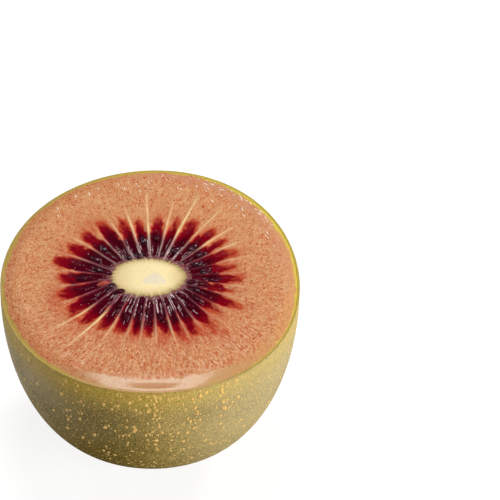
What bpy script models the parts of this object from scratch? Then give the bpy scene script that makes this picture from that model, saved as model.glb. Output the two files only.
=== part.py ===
"""Half of a red-fleshed kiwi fruit, cut across its middle and standing on its blossom end.

The half is one solid: the barrel-shaped body in its thin peel, with the cut face on top.
The face has a rounded shoulder inside the peel, a ring of shallow seed pockets between
thin walls, a low domed core, and seeds that stand out of the pockets.

Metres, +Z up. The origin is on the surface that the fruit stands on, under the middle of
the cut. Run it with blender --background --python part.py, or from the Text Editor.
"""

import math

import bmesh
import bpy
import numpy as np
from mathutils import Euler, Matrix, Vector

MM = 0.001
FULL_TURN = 2.0 * math.pi

# Body, from the cut down to the flat tip that it stands on
RADIUS = 24.0 * MM
RIM_HEIGHT = 35.0 * MM
FLAT_RADIUS = 6.0 * MM
WIDEST_BELOW_CUT = 2.6 * MM
DEPTH_POWER = 2.0
RADIUS_POWER = 2.8
# Lobes that keep the outline from a true circle: how many, how high, and a crest's phase in degrees
LOBES = ((2, 0.15 * MM, 24.0), (3, 0.28 * MM, -127.0), (4, 0.16 * MM, -165.0))

# Pit of the blossom scar, in the middle of the flat tip
SCAR_RADIUS = 1.7 * MM
SCAR_FLOOR_RADIUS = 1.0 * MM
SCAR_DEPTH = 0.7 * MM

# Cut face, from the peel inwards
PEEL_THICKNESS = 0.4 * MM
SHOULDER_WIDTH = 2.8 * MM
SHOULDER_RISE = 0.55 * MM
CORE_HALF_WIDTH = 6.0 * MM
CORE_HALF_DEPTH = 3.9 * MM
CORE_SHIFT = 0.3 * MM
CORE_RISE = 0.35 * MM

# Seed pockets round the core, broader on one side; their reach is a share of the rim's radius
POCKETS = 29
FIRST_WALL = 2.4
WALL_SWING = 6.7
WALL_SWING_TOWARDS = 215.0
WALL_SPREAD = 1.1
POCKET_REACH = 0.585
REACH_SWING = 0.05
REACH_SPREAD = 0.035
POCKET_DEPTH = 0.5 * MM

# Near the core the pockets bend, to leave its long sides more squarely; most at the core, least on one side
BEND = 9.5
BEND_SWING = 4.5
BEND_SWING_FROM = 45.0

# Seeds, most of each sunk in the pulp of its pocket
SEEDS = 34
POCKET_STRIDE = 12
SEED_LENGTH = 2.1 * MM
SEED_WIDTH = 1.3 * MM
SEED_THICKNESS = 1.0 * MM
SEED_TAPER = 0.35
SEED_LIFT = 0.12 * MM
SEED_FROM_CORE = (0.7 * MM, 5.2 * MM)
SEED_ACROSS = (0.36, 0.64)
SEED_ROLL, SEED_PITCH, SEED_YAW = 0.5, 0.25, 0.45

# Fineness of the mesh
RANDOM_SEED = 7
COLUMNS_PER_POCKET = 4
BODY_RINGS = 16
SHOULDER_STEPS = (0.2, 0.5, 1.0)
POCKET_STEPS = (1.0, 0.86, 0.66, 0.42, 0.18, 0.0)
CORE_STEPS = (0.9, 0.5)
SEED_SIDES = 6
SEED_RINGS = 4
SMOOTH_BELOW = math.radians(40.0)

# Base colour and roughness of each finish
FINISHES = {
    "peel": ((0.36, 0.27, 0.08), 0.62),
    "flesh": ((0.66, 0.27, 0.12), 0.30),
    "pocket": ((0.22, 0.006, 0.012), 0.22),
    "core": ((0.90, 0.76, 0.43), 0.45),
    "seed": ((0.022, 0.004, 0.008), 0.18),
}
FINISH_INDEX = {name: index for index, name in enumerate(FINISHES)}


def clear_scene():
    for obj in list(bpy.data.objects):
        bpy.data.objects.remove(obj)


def make_finish(name):
    """A Principled material with the finish's colour and roughness; nothing here is metal."""
    colour, roughness = FINISHES[name]
    material = bpy.data.materials.new(name)
    material.use_nodes = True
    shader = material.node_tree.nodes["Principled BSDF"]
    shader.inputs["Base Color"].default_value = (*colour, 1.0)
    shader.inputs["Roughness"].default_value = roughness
    shader.inputs["Metallic"].default_value = 0.0
    return material


def rim_radius(angle):
    """Centre to peel at the cut, in the direction of angle: a circle with a few low lobes."""
    return RADIUS + sum(high * np.cos(count * angle - math.radians(phase)) for count, high, phase in LOBES)


def width_share(depth):
    """Width at a depth below the cut, as a share of the width at the cut.

    It is a superellipse about the widest level. Its own half-length is the one that leaves
    a radius of FLAT_RADIUS where the flat tip cuts it off.
    """
    tip = (1.0 - (FLAT_RADIUS / RADIUS) ** RADIUS_POWER) ** (1.0 / DEPTH_POWER)
    half_length = (RIM_HEIGHT - WIDEST_BELOW_CUT) / tip

    def curve(below_cut):
        along = abs(below_cut - WIDEST_BELOW_CUT) / half_length
        return (1.0 - along**DEPTH_POWER) ** (1.0 / RADIUS_POWER)

    return curve(depth) / curve(0.0)


def core_radius(angle):
    """Centre to the core's edge: an ellipse, moved towards -X by CORE_SHIFT."""
    ellipse = 1.0 / np.hypot(np.cos(angle) / CORE_HALF_WIDTH, np.sin(angle) / CORE_HALF_DEPTH)
    return ellipse - CORE_SHIFT * np.cos(angle)


def pocket_layout(rng):
    """Angles of the walls between the pockets, and each pocket's reach.

    The walls are evenly spaced, then swung by up to twice WALL_SWING where they face
    WALL_SWING_TOWARDS, and last moved a little at random. The first wall comes again
    at the end, a full turn later.
    """
    even = np.radians(FIRST_WALL + np.arange(POCKETS) * 360.0 / POCKETS)
    swing = math.radians(WALL_SWING) * (1.0 + np.cos(even - math.radians(WALL_SWING_TOWARDS)))
    walls = even + swing + np.radians(rng.uniform(-WALL_SPREAD, WALL_SPREAD, POCKETS))
    reach = POCKET_REACH + rng.uniform(-REACH_SPREAD, REACH_SPREAD, POCKETS)
    return np.append(walls, walls[0] + FULL_TURN), reach


def pocket_end(angle, reach):
    """Centre to a pocket's outer end: pockets reach farther at the core's ends than at its sides."""
    return rim_radius(angle) * (reach + REACH_SWING * np.cos(2.0 * angle))


def bent(angle, along):
    """Angle that a spoke of the face has at a share along its pocket, from its angle in the flesh beyond."""
    most = math.radians(BEND) - math.radians(BEND_SWING) * np.cos(angle - math.radians(BEND_SWING_FROM))
    return angle - most * np.sin(2.0 * angle) * (1.0 - along) ** 2


def pocket_sink(across, along):
    """Depth of a pocket at a share across and a share along it.

    It is a rounded trough that closes at its walls and ends.
    """
    return POCKET_DEPTH * np.sin(math.pi * across) ** 0.7 * np.sin(math.pi * along**0.8) ** 0.6


def face_columns(walls, reach):
    """Angle, share across its pocket and pocket reach of every column of points, one column on each wall."""
    steps = np.arange(COLUMNS_PER_POCKET) / COLUMNS_PER_POCKET
    across = np.tile(steps, POCKETS)
    angles = (walls[:-1, None] + np.diff(walls)[:, None] * steps).ravel()
    reaches = np.repeat(reach, COLUMNS_PER_POCKET)
    # A wall ends with the shorter of the two pockets beside it
    reaches[::COLUMNS_PER_POCKET] = np.minimum(reach, np.roll(reach, 1))
    return angles, across, reaches


def ring(angles, radius, height):
    """Points of one ring about the upright axis."""
    heights = np.broadcast_to(height, angles.shape)
    return np.stack([radius * np.cos(angles), radius * np.sin(angles), heights], axis=1)


def body_rings(angles):
    """The rings of the scar pit and the peel, from the pit's floor up to the cut."""
    rings = [ring(angles, SCAR_FLOOR_RADIUS, SCAR_DEPTH), ring(angles, SCAR_RADIUS, 0.0)]
    # Equal steps round a quarter circle put the rings close together where the tip curves in
    for turn in np.linspace(0.0, math.pi / 2.0, BODY_RINGS):
        depth = RIM_HEIGHT * math.cos(turn)
        rings.append(ring(angles, rim_radius(angles) * width_share(depth), RIM_HEIGHT - depth))
    return rings


def shoulder_rings(angles):
    """The rings of the flesh's rounded shoulder, inwards from the peel."""
    inner_edge = rim_radius(angles) - PEEL_THICKNESS
    rings = []
    for step in SHOULDER_STEPS:
        rise = SHOULDER_RISE * (1.0 - (1.0 - step) ** 2)
        rings.append(ring(angles, inner_edge - SHOULDER_WIDTH * step, RIM_HEIGHT + rise))
    return rings


def pocket_rings(angles, reaches, across):
    """The rings across the seed pockets, from their outer ends to the core."""
    rings = []
    for step in POCKET_STEPS:
        turned = bent(angles, step)
        core = core_radius(turned)
        radius = core + step * (pocket_end(angles, reaches) - core)
        rings.append(ring(turned, radius, RIM_HEIGHT + SHOULDER_RISE - pocket_sink(across, step)))
    return rings


def core_rings(angles):
    """The rings of the core's low dome."""
    turned = bent(angles, 0.0)
    rings = []
    for step in CORE_STEPS:
        rise = SHOULDER_RISE + CORE_RISE * (1.0 - step**2)
        rings.append(ring(turned, core_radius(turned) * step, RIM_HEIGHT + rise))
    return rings


def make_fruit(walls, reach):
    """The half without its seeds: rings joined into bands of faces, and closed at the scar and the core."""
    angles, across, reaches = face_columns(walls, reach)
    to_peel = body_rings(angles)
    peel_edge = [ring(angles, rim_radius(angles) - PEEL_THICKNESS, RIM_HEIGHT)]
    to_pockets = shoulder_rings(angles)
    in_pockets = pocket_rings(angles, reaches, across)
    rings = to_peel + peel_edge + to_pockets + in_pockets + core_rings(angles)
    # The finish of the band of faces below each ring
    finishes = ["peel"] * (len(to_peel) + 1) + ["flesh"] * (len(to_pockets) + 1)
    finishes += ["pocket"] * (len(in_pockets) - 1) + ["core"] * len(CORE_STEPS)

    bm = bmesh.new()
    below = []
    for points, finish in zip(rings, finishes):
        above = [bm.verts.new(point) for point in points.tolist()]
        if below:
            join_rings(bm, below, above, finish)
        else:
            close_ring(bm, above[::-1], SCAR_DEPTH, finish)
        below = above
    close_ring(bm, below, RIM_HEIGHT + SHOULDER_RISE + CORE_RISE, "core")
    mesh = bpy.data.meshes.new("kiwi_half")
    bm.to_mesh(mesh)
    bm.free()
    return mesh


def join_rings(bm, lower, upper, finish):
    """A band of four-sided faces between two rings, facing out of the fruit."""
    for index in range(len(lower)):
        before = index - 1
        face = bm.faces.new((lower[before], lower[index], upper[index], upper[before]))
        face.material_index = FINISH_INDEX[finish]


def close_ring(bm, edge, height, finish):
    """A fan of triangles from a ring to a point on the axis."""
    middle = bm.verts.new((0.0, 0.0, height))
    for index in range(len(edge)):
        face = bm.faces.new((edge[index - 1], edge[index], middle))
        face.material_index = FINISH_INDEX[finish]


def make_seed():
    """A flattened ovoid along X, blunt at one end and slim at the other."""
    bm = bmesh.new()
    along_x = Matrix.Rotation(math.pi / 2.0, 4, "Y")
    bmesh.ops.create_uvsphere(bm, u_segments=SEED_SIDES, v_segments=SEED_RINGS, radius=0.5, matrix=along_x)
    for vert in bm.verts:
        slim = 1.0 - SEED_TAPER * (vert.co.x + 0.5)
        vert.co = (vert.co.x * SEED_LENGTH, vert.co.y * SEED_WIDTH * slim, vert.co.z * SEED_THICKNESS * slim)
    for face in bm.faces:
        face.material_index = FINISH_INDEX["seed"]
    mesh = bpy.data.meshes.new("seed")
    bm.to_mesh(mesh)
    bm.free()
    return mesh


def seed_places(rng, walls, reach):
    """Where each seed lies and how it is turned.

    The stride spreads them over all the pockets before any has two.
    """
    places = []
    for number in range(SEEDS):
        pocket = number * POCKET_STRIDE % POCKETS
        across = rng.uniform(*SEED_ACROSS)
        angle = walls[pocket] + across * (walls[pocket + 1] - walls[pocket])
        end = pocket_end(angle, reach[pocket])
        along = rng.uniform(*SEED_FROM_CORE) / (end - core_radius(angle))
        turned = bent(angle, along)
        radius = core_radius(turned) + along * (end - core_radius(turned))
        height = RIM_HEIGHT + SHOULDER_RISE - pocket_sink(across, along) + SEED_LIFT
        roll, pitch, yaw = rng.uniform(-1.0, 1.0, 3) * (SEED_ROLL, SEED_PITCH, SEED_YAW)
        location = Vector((radius * math.cos(turned), radius * math.sin(turned), height))
        places.append((location, Euler((roll, pitch, turned + yaw))))
    return places


def fuse(obj, collection):
    """Joins a collection's objects to obj by one Boolean union, applies it and removes them."""
    union = obj.modifiers.new("fuse", "BOOLEAN")
    union.operation = "UNION"
    union.operand_type = "COLLECTION"
    union.collection = collection
    bpy.context.view_layer.update()
    fused = obj.evaluated_get(bpy.context.evaluated_depsgraph_get())
    mesh = bpy.data.meshes.new_from_object(fused)
    obj.modifiers.clear()
    obj.data = mesh
    for piece in list(collection.objects):
        bpy.data.objects.remove(piece)
    bpy.data.collections.remove(collection)


def main():
    clear_scene()
    rng = np.random.default_rng(RANDOM_SEED)
    walls, reach = pocket_layout(rng)
    fruit_mesh = make_fruit(walls, reach)
    seed_mesh = make_seed()
    for name in FINISHES:
        finish = make_finish(name)
        fruit_mesh.materials.append(finish)
        seed_mesh.materials.append(finish)

    fruit = bpy.data.objects.new("kiwi_half", fruit_mesh)
    bpy.context.scene.collection.objects.link(fruit)
    seeds = bpy.data.collections.new("seeds")
    bpy.context.scene.collection.children.link(seeds)
    for number, (location, turn) in enumerate(seed_places(rng, walls, reach)):
        seed = bpy.data.objects.new(f"seed_{number:02d}", seed_mesh)
        seed.location = location
        seed.rotation_euler = turn
        seeds.objects.link(seed)

    fuse(fruit, seeds)
    fruit.data.shade_smooth()
    fruit.data.set_sharp_from_angle(angle=SMOOTH_BELOW)


main()
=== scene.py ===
"""Looks of half a red-fleshed kiwi fruit, standing on its blossom end with the cut face up.

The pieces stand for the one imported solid: a thin peel with its cut edge, corky flecks on the peel,
the flesh with its shoulder, seed pockets, walls and pale core, the seeds, wet threads, drops of juice
and the blossom's scar.
Every surface is a function of two parameters, worked out on a grid as whole arrays: round the fruit
they are the angle about the upright axis and the step from ring to ring.
Metres, +Z up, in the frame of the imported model, whose sizes and formulas the first part repeats.
"""

import math

import bpy
import numpy as np
from mathutils import Euler, Matrix, Vector


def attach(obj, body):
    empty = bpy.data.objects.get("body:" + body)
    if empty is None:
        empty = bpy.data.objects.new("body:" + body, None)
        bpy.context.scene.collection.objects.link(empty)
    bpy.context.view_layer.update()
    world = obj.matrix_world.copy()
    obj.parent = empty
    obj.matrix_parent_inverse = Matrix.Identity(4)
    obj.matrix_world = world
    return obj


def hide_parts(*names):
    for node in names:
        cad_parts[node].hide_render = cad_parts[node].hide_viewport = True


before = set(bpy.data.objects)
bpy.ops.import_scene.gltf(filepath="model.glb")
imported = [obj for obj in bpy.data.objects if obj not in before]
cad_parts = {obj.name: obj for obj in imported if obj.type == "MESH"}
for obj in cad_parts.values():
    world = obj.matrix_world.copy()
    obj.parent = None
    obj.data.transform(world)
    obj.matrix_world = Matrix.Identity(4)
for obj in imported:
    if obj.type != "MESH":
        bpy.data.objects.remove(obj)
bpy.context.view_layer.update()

MM = 0.001
FULL_TURN = 2.0 * math.pi
BODY = "root"
NODE = "kiwi_half"

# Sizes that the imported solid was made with
RADIUS = 24.0 * MM
RIM_HEIGHT = 35.0 * MM
FLAT_RADIUS = 6.0 * MM
WIDEST_BELOW_CUT = 2.6 * MM
DEPTH_POWER = 2.0
RADIUS_POWER = 2.8
LOBES = ((2, 0.15 * MM, 24.0), (3, 0.28 * MM, -127.0), (4, 0.16 * MM, -165.0))
SCAR_RADIUS = 1.7 * MM
SCAR_FLOOR_RADIUS = 1.0 * MM
SCAR_DEPTH = 0.7 * MM
PEEL_THICKNESS = 0.4 * MM
SHOULDER_WIDTH = 2.8 * MM
SHOULDER_RISE = 0.55 * MM
CORE_HALF_WIDTH = 6.0 * MM
CORE_HALF_DEPTH = 3.9 * MM
CORE_SHIFT = 0.3 * MM
CORE_RISE = 0.35 * MM
POCKETS = 29
FIRST_WALL = 2.4
WALL_SWING = 6.7
WALL_SWING_TOWARDS = 215.0
WALL_SPREAD = 1.1
POCKET_REACH = 0.585
REACH_SWING = 0.05
REACH_SPREAD = 0.035
POCKET_DEPTH = 0.5 * MM
BEND = 9.5
BEND_SWING = 4.5
BEND_SWING_FROM = 45.0
SEEDS = 34
POCKET_STRIDE = 12
SEED_LENGTH = 2.1 * MM
SEED_WIDTH = 1.3 * MM
SEED_THICKNESS = 1.0 * MM
SEED_TAPER = 0.35
SEED_LIFT = 0.12 * MM
SEED_FROM_CORE = (0.7 * MM, 5.2 * MM)
SEED_ACROSS = (0.36, 0.64)
SEED_ROLL, SEED_PITCH, SEED_YAW = 0.5, 0.25, 0.45
LAYOUT_SEED = 7

# Shares and sizes of the looks alone
WALL_SHARE = 0.14
FRONT_SHOULDER_EXTRA = 1.5 * MM
DENT_INSET = 1.05 * MM
DENT_DEPTH = 0.10 * MM
DENT_SOFTNESS = 0.34 * MM
DENT_TOWARDS, DENT_HALF_TURN = 270.5, 14.0
# Where a painted dark reflection lies inside the front shoulder's highlight
LENS_INSET = 1.48 * MM
LENS_HALF_HEIGHT = 0.45 * MM
LENS_TOWARDS, LENS_HALF_TURN = 271.0, 11.8
FRONT = math.radians(-90.0)

# Where the painted light and shade of each side, and the smooth front of the shoulder, are strongest, in
# degrees round the fruit from +X
GLAZE_TOWARDS = 274.0
PINK_LIGHT_TOWARDS = 50.0
PAINTED_GLOW_TOWARDS = 40.0
PAINTED_LIGHT_TOWARDS = -20.0
SHADE_TOWARDS = 225.0
PAINTED_SHEEN_TOWARDS = 178.0

# Numbers of the small pieces, and the steps that spread points evenly over a square
THREADS_PER_POCKET = 6
CORE_DROPS, POCKET_DROPS, RIM_DROPS = 90, 110, 130
FLECKS, FLECK_CORNERS = 2200, 8
FLECKS_NEAR_RIM = 0.22
EVEN_STEPS = (0.7548777, 0.5698403)
UNRIPE_SEED = (-7.7 * MM, -2.6 * MM, RIM_HEIGHT)

# How the red of the pockets pales outwards on each side of the core: the share along a pocket where it
# starts, the share that it takes, and the power of the curve
PALING = {"right": (0.28, 1.00, 1.3), "back": (0.36, 1.00, 1.15),
          "left": (0.42, 0.86, 1.6), "front": (0.60, 0.62, 1.1)}

# Gap between the red and the middle of a wall in millimetres, at these shares along a pocket; below 0 the red
# covers the wall
GAP_AT = (0.0, 0.35, 0.55, 0.8, 1.0)
GAPS = {"right": (-0.40, -0.37, -0.10, 0.32, 0.55), "back": (-0.40, -0.22, 0.12, 0.42, 0.60),
        "left": (-0.40, -0.30, -0.02, 0.24, 0.40), "front": (-0.40, -0.30, -0.02, 0.24, 0.40)}

# Fineness of the grids
COLUMNS_PER_POCKET = 24
UNDER_RINGS, OUTER_RINGS, POCKET_RINGS, CORE_RINGS = 10, 52, 56, 20
PEEL_RINGS, LINING_RINGS = 110, 14

# Walls that show as bold cream lines, counted from the first wall
BOLD_WALLS = {1: 0.3, 2: 0.4, 3: 0.7, 4: 0.9, 5: 1.0, 6: 0.6, 7: 1.0, 8: 0.6, 9: 0.4, 11: 0.3,
              16: 0.8, 17: 1.0, 18: 0.4, 19: 0.2, 20: 0.25, 21: 0.25, 22: 0.5, 23: 0.3, 24: 0.2, 28: 0.2}


def smooth(value, low, high):
    """0 below low, 1 above high, and an S-curve between them."""
    share = np.clip((value - low) / (high - low), 0.0, 1.0)
    return share * share * (3.0 - 2.0 * share)


def bell(value, middle, width):
    """A bell curve: 1 in the middle, and 0.37 at this width from it."""
    return np.exp(-(((value - middle) / width) ** 2))


def rim_radius(angle):
    """Centre to peel at the cut: a circle with a few low lobes, each a cosine wave round it."""
    return RADIUS + sum(high * np.cos(count * angle - math.radians(phase)) for count, high, phase in LOBES)


def width_share(depth):
    """Width at a depth below the cut, as a share of the cut's: a superellipse about the widest level."""
    tip = (1.0 - (FLAT_RADIUS / RADIUS) ** RADIUS_POWER) ** (1.0 / DEPTH_POWER)
    half_length = (RIM_HEIGHT - WIDEST_BELOW_CUT) / tip

    def curve(below_cut):
        along = np.abs(below_cut - WIDEST_BELOW_CUT) / half_length
        return (1.0 - along**DEPTH_POWER) ** (1.0 / RADIUS_POWER)

    return curve(depth) / curve(0.0)


def core_radius(angle):
    """Centre to the core's edge: an ellipse, moved towards -X."""
    ellipse = 1.0 / np.hypot(np.cos(angle) / CORE_HALF_WIDTH, np.sin(angle) / CORE_HALF_DEPTH)
    return ellipse - CORE_SHIFT * np.cos(angle)


def pocket_layout(rng):
    """Angles of the walls, with the first again a full turn later, and each pocket's reach."""
    even = np.radians(FIRST_WALL + np.arange(POCKETS) * 360.0 / POCKETS)
    swing = math.radians(WALL_SWING) * (1.0 + np.cos(even - math.radians(WALL_SWING_TOWARDS)))
    walls = even + swing + np.radians(rng.uniform(-WALL_SPREAD, WALL_SPREAD, POCKETS))
    reach = POCKET_REACH + rng.uniform(-REACH_SPREAD, REACH_SPREAD, POCKETS)
    return np.append(walls, walls[0] + FULL_TURN), reach


def pocket_end(angle, reach):
    """Centre to a pocket's outer end: farther at the core's ends than at its sides."""
    return rim_radius(angle) * (reach + REACH_SWING * np.cos(2.0 * angle))


def bent(angle, along):
    """Angle of a spoke of the face at a share along its pocket: it bends by a sine, most at the core."""
    most = math.radians(BEND) - math.radians(BEND_SWING) * np.cos(angle - math.radians(BEND_SWING_FROM))
    return angle - most * np.sin(2.0 * angle) * (1.0 - along) ** 2


def pocket_sink(across, along):
    """Depth of a pocket at a share across and along it: a rounded trough, closed at its walls and ends."""
    return POCKET_DEPTH * np.sin(math.pi * across) ** 0.7 * np.sin(math.pi * along**0.8) ** 0.6


def seed_places(rng, walls, reach):
    """Where each seed lies and how it is turned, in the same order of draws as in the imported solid."""
    places = []
    for number in range(SEEDS):
        pocket = number * POCKET_STRIDE % POCKETS
        across = rng.uniform(*SEED_ACROSS)
        angle = walls[pocket] + across * (walls[pocket + 1] - walls[pocket])
        end = pocket_end(angle, reach[pocket])
        along = rng.uniform(*SEED_FROM_CORE) / (end - core_radius(angle))
        turned = bent(angle, along)
        radius = core_radius(turned) + along * (end - core_radius(turned))
        height = RIM_HEIGHT + SHOULDER_RISE - pocket_sink(across, along) + SEED_LIFT
        roll, pitch, yaw = rng.uniform(-1.0, 1.0, 3) * (SEED_ROLL, SEED_PITCH, SEED_YAW)
        location = (radius * math.cos(turned), radius * math.sin(turned), height)
        places.append((np.array(location), np.array(Euler((roll, pitch, turned + yaw)).to_matrix())))
    return places


def mottle(rng, shape, rings_wide, columns_wide):
    """Even random bumps that close round the grid: white noise blurred by a bell curve, mean 0 and spread 1.

    The blur is a product in frequencies, so that the last column joins the first.
    """
    rows = np.fft.fftfreq(shape[0])[:, None] * rings_wide
    columns = np.fft.fftfreq(shape[1])[None, :] * columns_wide
    blur = np.exp(-2.0 * math.pi**2 * (rows**2 + columns**2))
    bumps = np.fft.ifft2(np.fft.fft2(rng.standard_normal(shape)) * blur).real
    return (bumps - bumps.mean()) / bumps.std()


def round_angles(count):
    """So many angles at even steps round a full turn."""
    return np.linspace(0.0, FULL_TURN, count, endpoint=False)


def ring_points(angles, radius, height):
    """Points of rings about the upright axis, from radius and height given for rings, columns or both."""
    angles, radius, height = np.broadcast_arrays(angles, radius, height)
    return np.stack([radius * np.cos(angles), radius * np.sin(angles), height], axis=-1)


def skin_faces(rings, columns):
    """Faces of a closed skin over rings between two poles, facing out when the rings run upwards."""
    point = np.arange(rings * columns).reshape(rings, columns)
    beside = np.roll(point, -1, axis=1)
    bands = np.stack([point[:-1], beside[:-1], beside[1:], point[1:]], axis=-1).reshape(-1, 4)
    first, last = rings * columns, rings * columns + 1
    start = np.stack([beside[0], point[0], np.full(columns, first)], axis=-1)
    end = np.stack([point[-1], beside[-1], np.full(columns, last)], axis=-1)
    return bands, np.concatenate([start, end])


def with_poles(values):
    """The values of all the rings' points, and after them the mean of the first and of the last ring."""
    flat = values.reshape(-1, *values.shape[2:])
    return np.concatenate([flat, values[0].mean(axis=0)[None], values[-1].mean(axis=0)[None]])


def add_object(name, data):
    """A new object in the scene."""
    made = bpy.data.objects.new(name, data)
    bpy.context.scene.collection.objects.link(made)
    return made


def make_piece(name, parts, material, shares=None):
    """One mesh object from closed skins, each an array of rings by columns by xyz, with shares as attributes.

    The piece rides with the fruit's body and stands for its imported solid.
    """
    points, quads, triangles, start = [], [], [], 0
    for rings in parts:
        bands, caps = skin_faces(*rings.shape[:2])
        points.append(with_poles(rings))
        quads.append(bands + start)
        triangles.append(caps + start)
        start += len(points[-1])
    faces = np.concatenate(quads).tolist() + np.concatenate(triangles).tolist()
    mesh = bpy.data.meshes.new(name)
    mesh.from_pydata(np.concatenate(points).tolist(), [], faces)
    for share, values in (shares or {}).items():
        attribute = mesh.attributes.new(share, "FLOAT", "POINT")
        blocks = values if values.ndim == 3 else [values]
        flat = np.concatenate([with_poles(block) for block in blocks])
        attribute.data.foreach_set("value", flat.astype(np.float32))
    mesh.shade_smooth()
    mesh.materials.append(material)
    piece = add_object(name, mesh)
    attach(piece, BODY)
    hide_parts(NODE)
    return piece


class Finish:
    """One material. Every method adds a node and gives its result, for the next one to use."""

    def __init__(self, name):
        self.material = bpy.data.materials.new(name)
        self.material.use_nodes = True
        self.tree = self.material.node_tree
        self.shader = self.tree.nodes["Principled BSDF"]

    def feed(self, socket, value):
        """Joins a socket to a node's result or a named share of the mesh, or sets it to a value."""
        if isinstance(value, str):
            value = self.add("Attribute", {}, attribute_name=value).outputs["Fac"]
        if isinstance(value, bpy.types.NodeSocket):
            self.tree.links.new(value, socket)
        elif isinstance(value, tuple) and socket.type == "RGBA":
            socket.default_value = (*value, 1.0)
        else:
            socket.default_value = value

    def add(self, kind, feeds, **settings):
        node = self.tree.nodes.new("ShaderNode" + kind)
        for setting, value in settings.items():
            setattr(node, setting, value)
        for socket, value in feeds.items():
            self.feed(node.inputs[socket], value)
        return node

    def set(self, **values):
        """Sets or joins the shader's own sockets; an underscore stands for a space in a socket's name."""
        for socket, value in values.items():
            self.feed(self.shader.inputs[socket.replace("_", " ")], value)

    def place(self):
        """The point of the object, in metres."""
        return self.add("TexCoord", {}).outputs["Object"]

    def stretched(self, vector, scale):
        return self.add("Mapping", {"Vector": vector, "Scale": scale}).outputs["Vector"]

    def noise(self, vector, size, detail=2.0, rough=0.5):
        feeds = {"Vector": vector, "Scale": 1.0 / size, "Detail": detail, "Roughness": rough}
        return self.add("TexNoise", feeds).outputs["Fac"]

    def cells(self, vector, size, flat=False):
        """Distance to the nearest of many scattered points, in cells, and a random number for each point."""
        dimensions = "2D" if flat else "3D"
        node = self.add("TexVoronoi", {"Vector": vector, "Scale": 1.0 / size}, voronoi_dimensions=dimensions)
        picked = self.add("SeparateColor", {"Color": node.outputs["Color"]})
        return node.outputs["Distance"], picked.outputs["Red"]

    def number(self, operation, first, second):
        return self.add("Math", {0: first, 1: second}, operation=operation).outputs[0]

    def sum(self, first, second):
        return self.number("ADD", first, second)

    def times(self, first, second):
        return self.number("MULTIPLY", first, second)

    def vector(self, operation, feeds, result="Vector"):
        return self.add("VectorMath", feeds, operation=operation).outputs[result]

    def between(self, value, low, high, start=0.0, end=1.0):
        """start below low, end above high, and an S-curve between them."""
        feeds = {"Value": value, "From Min": low, "From Max": high, "To Min": start, "To Max": end}
        return self.add("MapRange", feeds, interpolation_type="SMOOTHSTEP").outputs["Result"]

    def blend(self, share, under, over):
        """A colour between two, or one painted over the other where share, or the product of two, is 1."""
        if isinstance(share, tuple):
            share = self.times(*share)
        node = self.add("Mix", {"Factor": share}, data_type="RGBA")
        self.feed(node.inputs[6], under)
        self.feed(node.inputs[7], over)
        return node.outputs[2]

    def bump(self, height, depth, below=None):
        """The surface's direction with fine bumps of this depth in metres."""
        feeds = {"Height": height, "Distance": depth, "Strength": 1.0}
        if below is not None:
            feeds["Normal"] = below
        return self.add("Bump", feeds).outputs["Normal"]

    def spokes(self, place, across, along):
        """The place seen along the spokes of the cut: sizes run across the spokes at the rim, and along them.

        The first two numbers are the spoke's direction on a circle, so that a pattern closes round it.
        The third is the distance from the axis.
        """
        flat = self.vector("MULTIPLY", {0: place, 1: (1.0, 1.0, 0.0)})
        way = self.vector("NORMALIZE", {0: flat})
        round_it = self.vector("SCALE", {0: way, "Scale": RADIUS / across})
        far = self.vector("LENGTH", {0: flat}, "Value")
        rise = self.add("CombineXYZ", {"Z": self.times(far, 1.0 / along)}).outputs["Vector"]
        return self.vector("ADD", {0: round_it, 1: rise})


# Colours, as linear red, green and blue
PALE_GRAIN = (0.650, 0.370, 0.172)
DEEP_GRAIN = (0.520, 0.155, 0.056)
STREAK = (0.68, 0.38, 0.23)
SHOULDER_FLESH_AND_HIGHLIGHT = (0.49, 0.32, 0.145)
LENS_PAINTED_DARK_REFLECTION = (0.50, 0.225, 0.110)
OCHRE_PAINTED_SHADE = (0.46, 0.25, 0.10)
RED_DOT = (0.40, 0.045, 0.022)
BRICK = (0.45, 0.060, 0.027)
CRIMSON = (0.20, 0.0010, 0.0075)
MAROON = (0.066, 0.0010, 0.0070)
WALL_IN_RED = (0.26, 0.095, 0.115)
WALL_IN_FLESH = (0.63, 0.31, 0.18)
WALL_LIT = (0.50, 0.34, 0.32)
WALL_LIT_OUTSIDE = (0.78, 0.50, 0.29)
HALO_PINK = (0.40, 0.17, 0.17)
PALE_LUMP = (0.75, 0.49, 0.28)
WALL_CREAM = (0.92, 0.70, 0.36)
CORE_CREAM = (0.93, 0.79, 0.45)
CORE_SHADE = (0.68, 0.51, 0.25)
CORE_PAINTED_REFLECTION = (0.78, 0.69, 0.54)
CORE_FRINGE = (0.30, 0.215, 0.080)
UNDER_PEEL = (0.56, 0.42, 0.060)
UNDER_PEEL_DULL = (0.49, 0.335, 0.085)
CUT_FLESH = (0.60, 0.32, 0.18)
PINK_PAINTED_LIGHT = (0.52, 0.225, 0.165)
PEEL_OLIVE = (0.285, 0.200, 0.050)
PEEL_DARK = (0.195, 0.133, 0.024)
PEEL_LOW = (0.050, 0.035, 0.005)
PEEL_GREEN = (0.39, 0.265, 0.050)
PEEL_GRAIN = (0.52, 0.37, 0.13)
PEEL_PAINTED_LIGHT = (0.325, 0.28, 0.18)
PEEL_PAINTED_SHEEN = (0.44, 0.385, 0.27)
GLINT = (0.90, 0.66, 0.46)
FLECK_TAN = (0.70, 0.43, 0.105)
FLECK_BROWN = (0.48, 0.27, 0.070)
SEED_BLACK = (0.028, 0.003, 0.009)
SEED_BROWN = (0.065, 0.008, 0.017)
SEED_PALE = (0.42, 0.070, 0.050)
SEED_SUNK = (0.050, 0.0010, 0.0065)
THREAD_MAUVE = (0.13, 0.035, 0.050)
THREAD_PALE_GLINT = (0.74, 0.56, 0.57)
DROP_PALE_GLINT = (0.98, 0.88, 0.76)
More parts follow.
